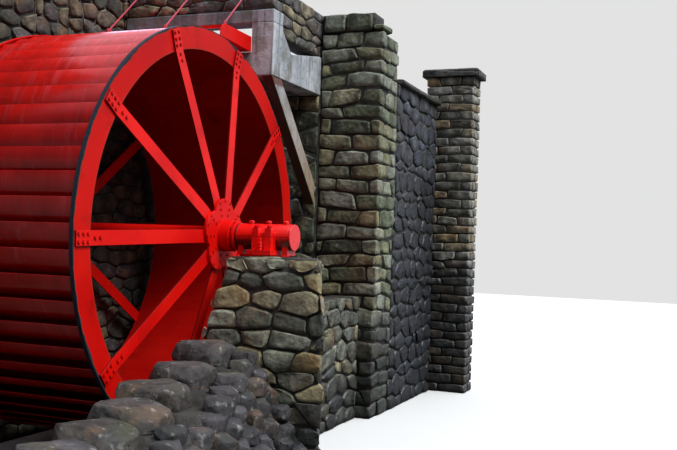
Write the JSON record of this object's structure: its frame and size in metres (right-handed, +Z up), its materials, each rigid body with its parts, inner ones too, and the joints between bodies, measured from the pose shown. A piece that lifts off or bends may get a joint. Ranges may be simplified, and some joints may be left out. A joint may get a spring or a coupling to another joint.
{
  "type": "watermill",
  "caption": "Stone watermill with a tall red steel overshot wheel on a rubble pier, a concrete flume above it and a stone dam with a spillway.",
  "frame": {"origin": "on the ground, at the middle of the building's box", "axes": "+X along the axle from the mill wall out to the bearing pier, +Y towards the dam, +Z up"},
  "size_m": [5.68, 11.9996, 7.2],
  "materials": {
    "wall_stone": "rough fieldstone with dark joints",
    "pier_stone": "rough rubble stone",
    "pillar_stone": "squared brown stone",
    "slab_stone": "rough flat slab",
    "concrete": "weathered board-cast concrete with streaks",
    "red_paint": "glossy red paint"
  },
  "bodies": {
    "masonry": {"mill_wall_near": "wall_stone", "mill_wall_far": "wall_stone", "mill_wall_over_axle": "wall_stone", "mill_wall_under_axle": "wall_stone", "dam_wall": "wall_stone", "tower": "wall_stone", "spillway_wall": "wall_stone", "flume_side_parapet": "wall_stone", "flume_front_parapet": "wall_stone", "pit_wall": "wall_stone", "bearing_pier": "pier_stone", "tailrace_wall": "pier_stone", "spillway_pillar": "pillar_stone", "spillway_crest": "slab_stone", "pillar_cap": "slab_stone", "flume_floor": "concrete", "flume_lintel": "concrete", "flume_side_wall": "concrete", "flume_brace": "concrete", "chute": "red_paint", "chute_rod_near": "red_paint", "chute_rod_middle": "red_paint", "chute_rod_far": "red_paint", "bearing_base": "red_paint", "bearing_cap": "red_paint", "bearing_end_cover": "red_paint", "inner_bearing": "red_paint"},
    "wheel": {"axle": "red_paint", "near_hub": "red_paint", "far_hub": "red_paint", "near_spokes": "red_paint", "far_spokes": "red_paint", "near_shroud": "red_paint", "far_shroud": "red_paint", "sole_plate": "red_paint", "buckets": "red_paint"}
  },
  "joints": [
    {"name": "wheel_turn", "type": "hinge", "parent": "masonry", "child": "wheel", "pos_m": [0.74, -1.79976, 2.95], "axis": [1, 0, 0], "continuous": true}
  ]
}
